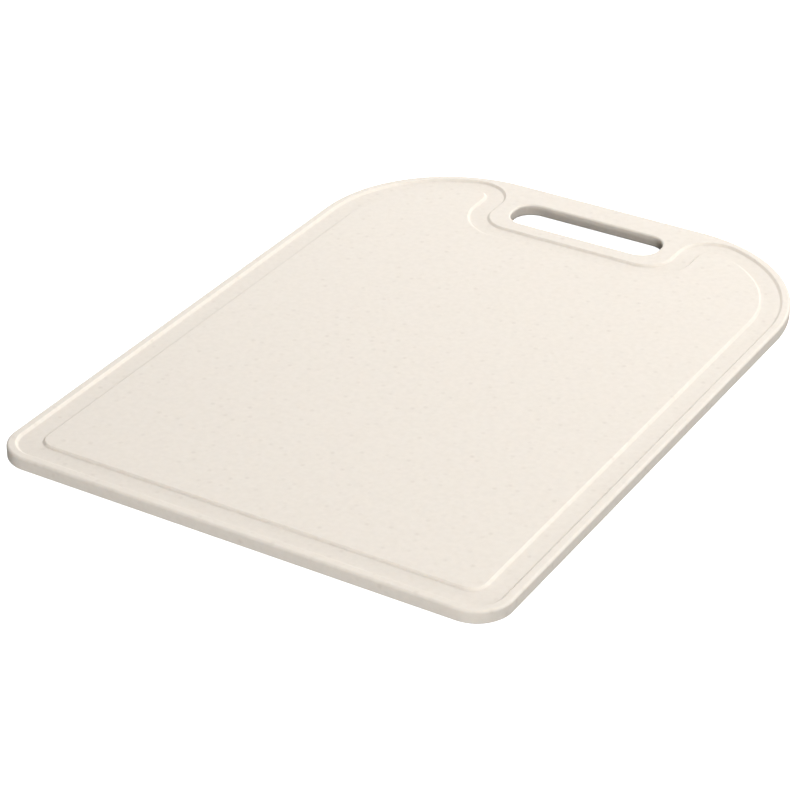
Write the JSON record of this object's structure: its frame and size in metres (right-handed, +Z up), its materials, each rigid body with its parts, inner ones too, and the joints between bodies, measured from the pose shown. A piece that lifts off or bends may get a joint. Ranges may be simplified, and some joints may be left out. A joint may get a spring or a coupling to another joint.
{
  "type": "cutting board",
  "caption": "Flat moulded plastic cutting board with rounded corners, a juice groove around the cutting field and a hand slot through the far end.",
  "frame": {"origin": "middle of the underside: midway between the two long sides and midway between the near end and the end with the hand slot, on the face the board rests on", "axes": "+X across the board, +Y along it toward the end with the hand slot, +Z up out of the cutting face"},
  "size_m": [0.28, 0.39, 0.007],
  "materials": {
    "board_plastic": "matt moulded plastic, warm off-white, with very fine faint darker flecks and a fine moulded texture"
  },
  "bodies": {
    "root": {"board": "board_plastic"}
  },
  "joints": []
}
